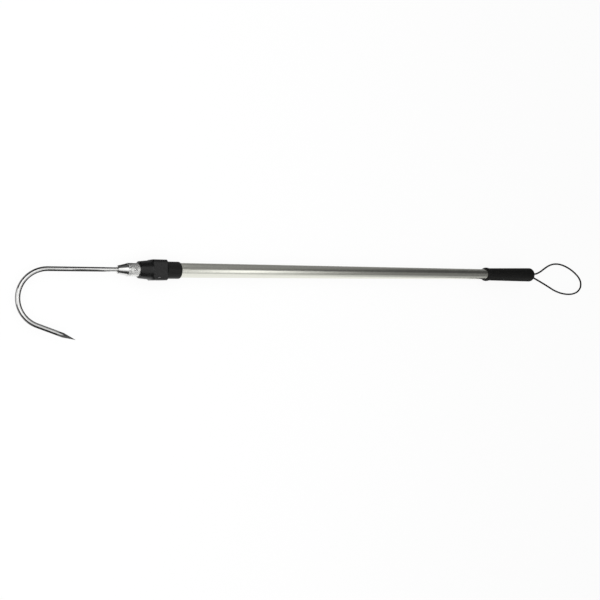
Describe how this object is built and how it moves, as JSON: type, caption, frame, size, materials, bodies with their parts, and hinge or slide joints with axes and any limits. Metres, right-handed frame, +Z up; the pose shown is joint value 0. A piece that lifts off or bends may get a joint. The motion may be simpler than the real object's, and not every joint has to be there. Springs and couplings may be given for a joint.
{
  "type": "fishing gaff",
  "caption": "Telescopic gaff: a sharpened hook in a coned ferrule on an inner tube that slides and turns in an outer tube under a twist lock, with a rubber grip and a wrist lanyard.",
  "frame": {"origin": "centre of the grip's butt face, on the pole's axis", "axes": "+X along the pole from the butt to the hook, +Y the way the hook bends, +Z up, the side that the ferrule's screw and one of the lock nut's flats face"},
  "size_m": [1.3722, 0.1246, 0.0308],
  "materials": {
    "tube_aluminium": "polished",
    "grip_rubber": "matte",
    "lock_plastic": "satin",
    "screw_black": "satin",
    "grey_nylon": "matte",
    "polished_steel": "mirror polished",
    "screw_steel": "polished",
    "lanyard_cord": "woven nylon"
  },
  "bodies": {
    "pole": {"outer_tube": "tube_aluminium", "grip": "grip_rubber", "end_plug": "grey_nylon", "collar_body": "lock_plastic", "lanyard": "lanyard_cord", "lanyard_knot": "lanyard_cord"},
    "tube_guide": {"glide_ring": "grey_nylon"},
    "hook_section": {"inner_tube": "tube_aluminium", "tube_plug": "grey_nylon", "plug_rivet": "tube_aluminium", "hook_ferrule": "polished_steel", "hook_screw": "screw_steel", "hook": "polished_steel"},
    "lock_collet": {"collet": "grey_nylon"},
    "lock_sleeve": {"lock_nut": "lock_plastic", "nut_screw": "screw_black"}
  },
  "joints": [
    {"name": "tube_slide", "type": "slide", "parent": "pole", "child": "tube_guide", "axis": [1, 0, 0], "range_m": [0, 0.8526]},
    {"name": "tube_turn", "type": "hinge", "parent": "tube_guide", "child": "hook_section", "pos_m": [0.0554, 0, 0], "axis": [1, 0, 0], "continuous": true},
    {"name": "collet_slide", "type": "slide", "parent": "pole", "child": "lock_collet", "axis": [1, 0, 0], "range_m": [0, 0.00201]},
    {"name": "nut_turn", "type": "hinge", "parent": "lock_collet", "child": "lock_sleeve", "pos_m": [0.9364, 0, 0], "axis": [1, 0, 0], "range_deg": [0, 360]}
  ],
  "couplings": [
    {"joint": "collet_slide", "follows": "nut_turn", "m_per_rad": 0.00031831}
  ]
}
